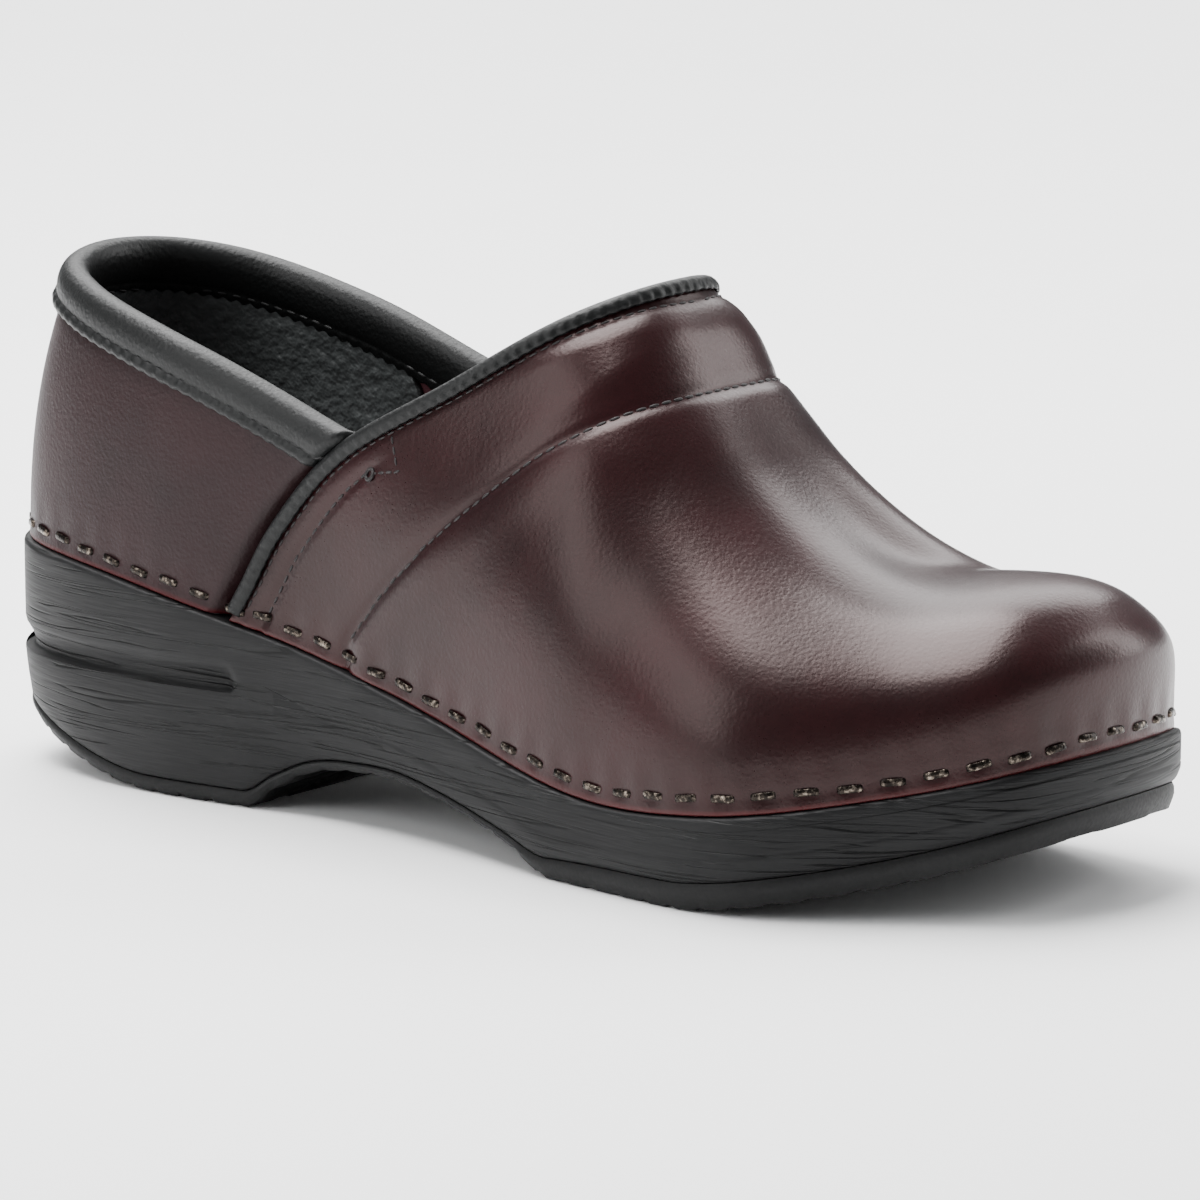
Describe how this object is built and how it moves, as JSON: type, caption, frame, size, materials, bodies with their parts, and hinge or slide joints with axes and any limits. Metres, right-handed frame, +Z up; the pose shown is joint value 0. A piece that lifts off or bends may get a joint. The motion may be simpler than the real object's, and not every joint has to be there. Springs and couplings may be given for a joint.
{
  "type": "closed-back clog",
  "caption": "Closed-back clog for the right foot: thick moulded black sole with a wood-grain face, stapled oxblood leather upper, padded black collar.",
  "frame": {"origin": "on the floor, under the middle of the overall bounding box", "axes": "+X towards the toe, +Y towards the inner (big toe) side of the foot, +Z up"},
  "size_m": [0.268, 0.0988, 0.114],
  "materials": {
    "sole_moulding": "matte black moulded polyurethane with a fine wood grain texture along its length",
    "outsole": "matte black outsole rubber",
    "frame_plastic": "matte black moulded plastic",
    "board": "bare brown fibreboard",
    "footbed_foam": "dark cushioning foam",
    "sock_leather": "smooth black sock leather",
    "upper_leather": "semi-gloss oxblood leather with a fine pebble grain",
    "stiffener": "stiffened non-woven fabric",
    "lining_leather": "black pebbled lining leather",
    "foam": "soft dark padding foam",
    "collar_leather": "soft black pebbled collar leather, low gloss",
    "binding_leather": "thin black binding, low gloss",
    "thread": "dark red-black waxed thread",
    "staple_wire": "dark bronzed flat steel wire"
  },
  "bodies": {
    "root": {"band_stitch": "thread", "collar_cover": "collar_leather", "collar_foam": "foam", "collar_stitch_inner": "thread", "collar_stitch_outer": "thread", "footbed": "footbed_foam", "heel_counter": "lining_leather", "inner_seam_front": "thread", "inner_seam_rear": "thread", "insole_board": "board", "instep_lining": "lining_leather", "instep_pad": "foam", "outer_seam_front": "thread", "outer_seam_rear": "thread", "quarter": "upper_leather", "sock_liner": "sock_leather", "sole_body": "sole_moulding", "stability_frame": "frame_plastic", "staple_01": "staple_wire", "staple_02": "staple_wire", "staple_03": "staple_wire", "staple_04": "staple_wire", "staple_05": "staple_wire", "staple_06": "staple_wire", "staple_07": "staple_wire", "staple_08": "staple_wire", "staple_09": "staple_wire", "staple_10": "staple_wire", "staple_11": "staple_wire", "staple_12": "staple_wire", "staple_13": "staple_wire", "staple_14": "staple_wire", "staple_15": "staple_wire", "staple_16": "staple_wire", "staple_17": "staple_wire", "staple_18": "staple_wire", "staple_19": "staple_wire", "staple_20": "staple_wire", "staple_21": "staple_wire", "staple_22": "staple_wire", "staple_23": "staple_wire", "staple_24": "staple_wire", "staple_25": "staple_wire", "staple_26": "staple_wire", "staple_27": "staple_wire", "staple_28": "staple_wire", "staple_29": "staple_wire", "staple_30": "staple_wire", "staple_31": "staple_wire", "staple_32": "staple_wire", "staple_33": "staple_wire", "staple_34": "staple_wire", "staple_35": "staple_wire", "staple_36": "staple_wire", "staple_37": "staple_wire", "staple_38": "staple_wire", "toe_puff": "stiffener", "tread": "outsole", "vamp": "upper_leather", "vamp_binding": "binding_leather"}
  },
  "joints": []
}
